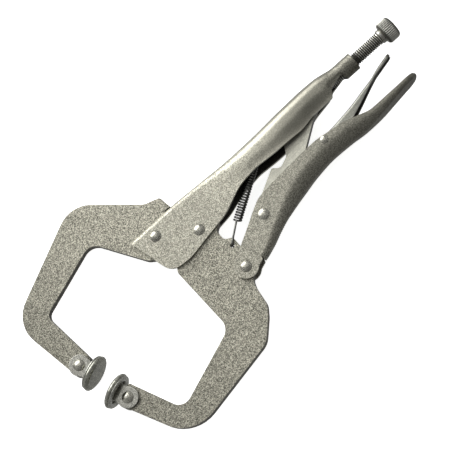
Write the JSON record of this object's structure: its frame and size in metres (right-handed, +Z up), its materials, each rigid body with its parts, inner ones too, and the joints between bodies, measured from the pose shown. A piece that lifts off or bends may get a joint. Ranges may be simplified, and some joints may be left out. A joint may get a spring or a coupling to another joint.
{
  "type": "locking C-clamp pliers",
  "caption": "Locking C-clamp pliers with swivel pads, adjusting screw, toggle link and release lever, shown locked.",
  "frame": {"origin": "centre of the bounding box in plan, at the surface that the tool lies on", "axes": "+X back along the fixed handle towards the adjusting screw's knob, +Y towards the fixed handle's spine, +Z up through the jaw pivot"},
  "size_m": [0.2806, 0.1503, 0.022],
  "materials": {
    "nickel_sheet": "satin nickel plate over pressed sheet, fine speckle",
    "nickel_forging": "satin nickel plate over forged arms, grainy speckle",
    "link_steel": "smooth satin nickel plate",
    "release_steel": "satin nickel plate over pressed sheet",
    "thread_steel": "oiled threaded steel",
    "knob_steel": "straight knurled steel, satin",
    "spring_wire": "drawn spring wire, dark",
    "rivet_steel": "domed rivet heads, semi-bright nickel",
    "pad_steel": "pressed steel, satin nickel plate"
  },
  "bodies": {
    "fixed_handle": {"handle_channel": "nickel_sheet", "fixed_jaw": "nickel_forging", "fixed_jaw_rivet": "rivet_steel", "jaw_pivot_rivet": "rivet_steel"},
    "moving_jaw": {"moving_jaw": "nickel_forging", "return_spring": "spring_wire"},
    "lever": {"lever_channel": "nickel_sheet", "lever_pivot_rivet": "rivet_steel", "link_pivot_rivet": "rivet_steel", "release_pivot_rivet": "rivet_steel"},
    "toggle_link": {"toggle_link": "link_steel"},
    "release_lever": {"release_lever": "release_steel"},
    "screw": {"adjusting_screw": "thread_steel"},
    "knob": {"screw_knob": "knob_steel"},
    "fixed_pad": {"fixed_pad": "pad_steel", "fixed_pad_yoke": "pad_steel", "fixed_pad_rivet": "rivet_steel"},
    "moving_pad": {"moving_pad": "pad_steel", "moving_pad_yoke": "pad_steel", "moving_pad_rivet": "rivet_steel"}
  },
  "joints": [
    {"name": "jaw_swing", "type": "hinge", "parent": "fixed_handle", "child": "moving_jaw", "pos_m": [-0.0244, 0.0115, 0.011], "axis": [0, 0, 1], "range_deg": [0, 24], "deforming": ["return_spring"]},
    {"name": "lever_swing", "type": "hinge", "parent": "moving_jaw", "child": "lever", "pos_m": [-0.0182, -0.0243, 0.011], "axis": [0, 0, 1], "range_deg": [-81.6, 0]},
    {"name": "link_swing", "type": "hinge", "parent": "lever", "child": "toggle_link", "pos_m": [0.0095, -0.0085, 0.011], "axis": [0, 0, 1], "range_deg": [0, 81.6]},
    {"name": "release_swing", "type": "hinge", "parent": "lever", "child": "release_lever", "pos_m": [0.0641, -0.0004, 0.011], "axis": [0, 0, 1], "range_deg": [-8, 2]},
    {"name": "knob_turn", "type": "hinge", "parent": "screw", "child": "knob", "pos_m": [0.1356, 0.0265, 0.011], "axis": [1, 0, 0], "range_deg": [0, 3601]},
    {"name": "screw_feed", "type": "slide", "parent": "fixed_handle", "child": "screw", "axis": [1, 0, 0], "range_m": [0, 0.0125]},
    {"name": "fixed_pad_swivel", "type": "hinge", "parent": "fixed_handle", "child": "fixed_pad", "pos_m": [-0.1284, -0.0009, 0.011], "axis": [0, 0, 1], "range_deg": [-15, 15]},
    {"name": "moving_pad_swivel", "type": "hinge", "parent": "moving_jaw", "child": "moving_pad", "pos_m": [-0.1186, -0.0351, 0.011], "axis": [0, 0, 1], "range_deg": [-15, 15]}
  ],
  "couplings": [
    {"joint": "lever_swing", "follows": "jaw_swing", "ratio": -3.4},
    {"joint": "link_swing", "follows": "jaw_swing", "ratio": 3.4},
    {"joint": "knob_turn", "follows": "screw_feed", "rad_per_m": 5026.5}
  ]
}
